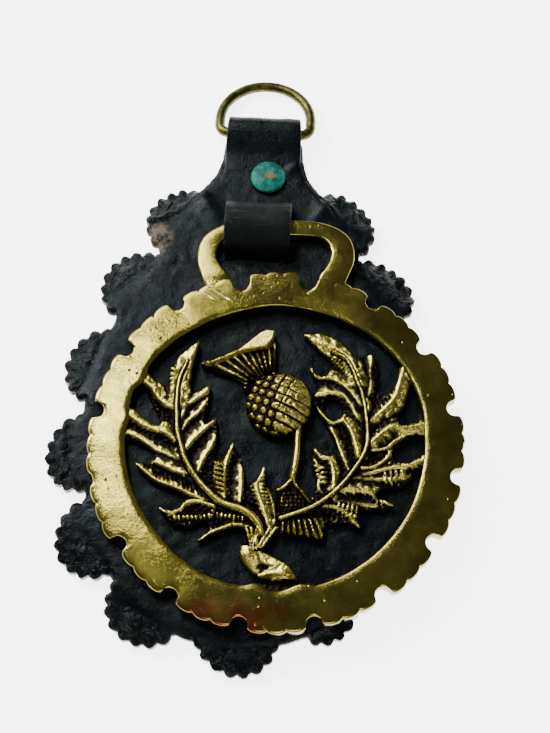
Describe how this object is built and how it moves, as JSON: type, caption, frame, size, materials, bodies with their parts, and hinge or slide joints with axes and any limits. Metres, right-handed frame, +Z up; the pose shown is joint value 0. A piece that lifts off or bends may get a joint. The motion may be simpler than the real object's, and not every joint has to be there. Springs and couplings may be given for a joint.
{
  "type": "horse brass on a leather backing",
  "caption": "Cast openwork medallion with a thistle between two leaves, hung by its eye from a keeper on a scalloped leather backing with a riveted fold and a D-ring.",
  "frame": {"origin": "middle of the part's footprint, on the surface it lies on", "axes": "+Y along the strap towards the D-ring, +X across it, +Z up out of the relief; the part lies on its back"},
  "size_m": [0.086, 0.1364, 0.0123],
  "materials": {
    "leather": "near-black glossy wrinkled leather, matte on the keeper's flesh side, raw and brownish at worn teeth",
    "cast_brass": "worn cast brass, bright on ridges and the left of the rim, dark patina in the recesses, a coppery stain at the foot",
    "ring_wire": "dull olive brown wire, lightly polished on top",
    "rivet_verdigris": "green verdigris with a brown worn spot"
  },
  "bodies": {
    "strap": {"leather_backing": "leather", "rivet": "rivet_verdigris"},
    "ring": {"d_ring": "ring_wire"},
    "medallion": {"brass_casting": "cast_brass"}
  },
  "joints": [
    {"name": "ring_swing", "type": "hinge", "parent": "strap", "child": "ring", "pos_m": [-0.00134, 0.05288, 0.0037], "axis": [1, 0, 0], "range_deg": [0, 150]},
    {"name": "medallion_swing", "type": "hinge", "parent": "strap", "child": "medallion", "pos_m": [-0.00134, 0.02878, 0.0051], "axis": [-0.9912, -0.1323, 0], "range_deg": [0, 55]}
  ]
}
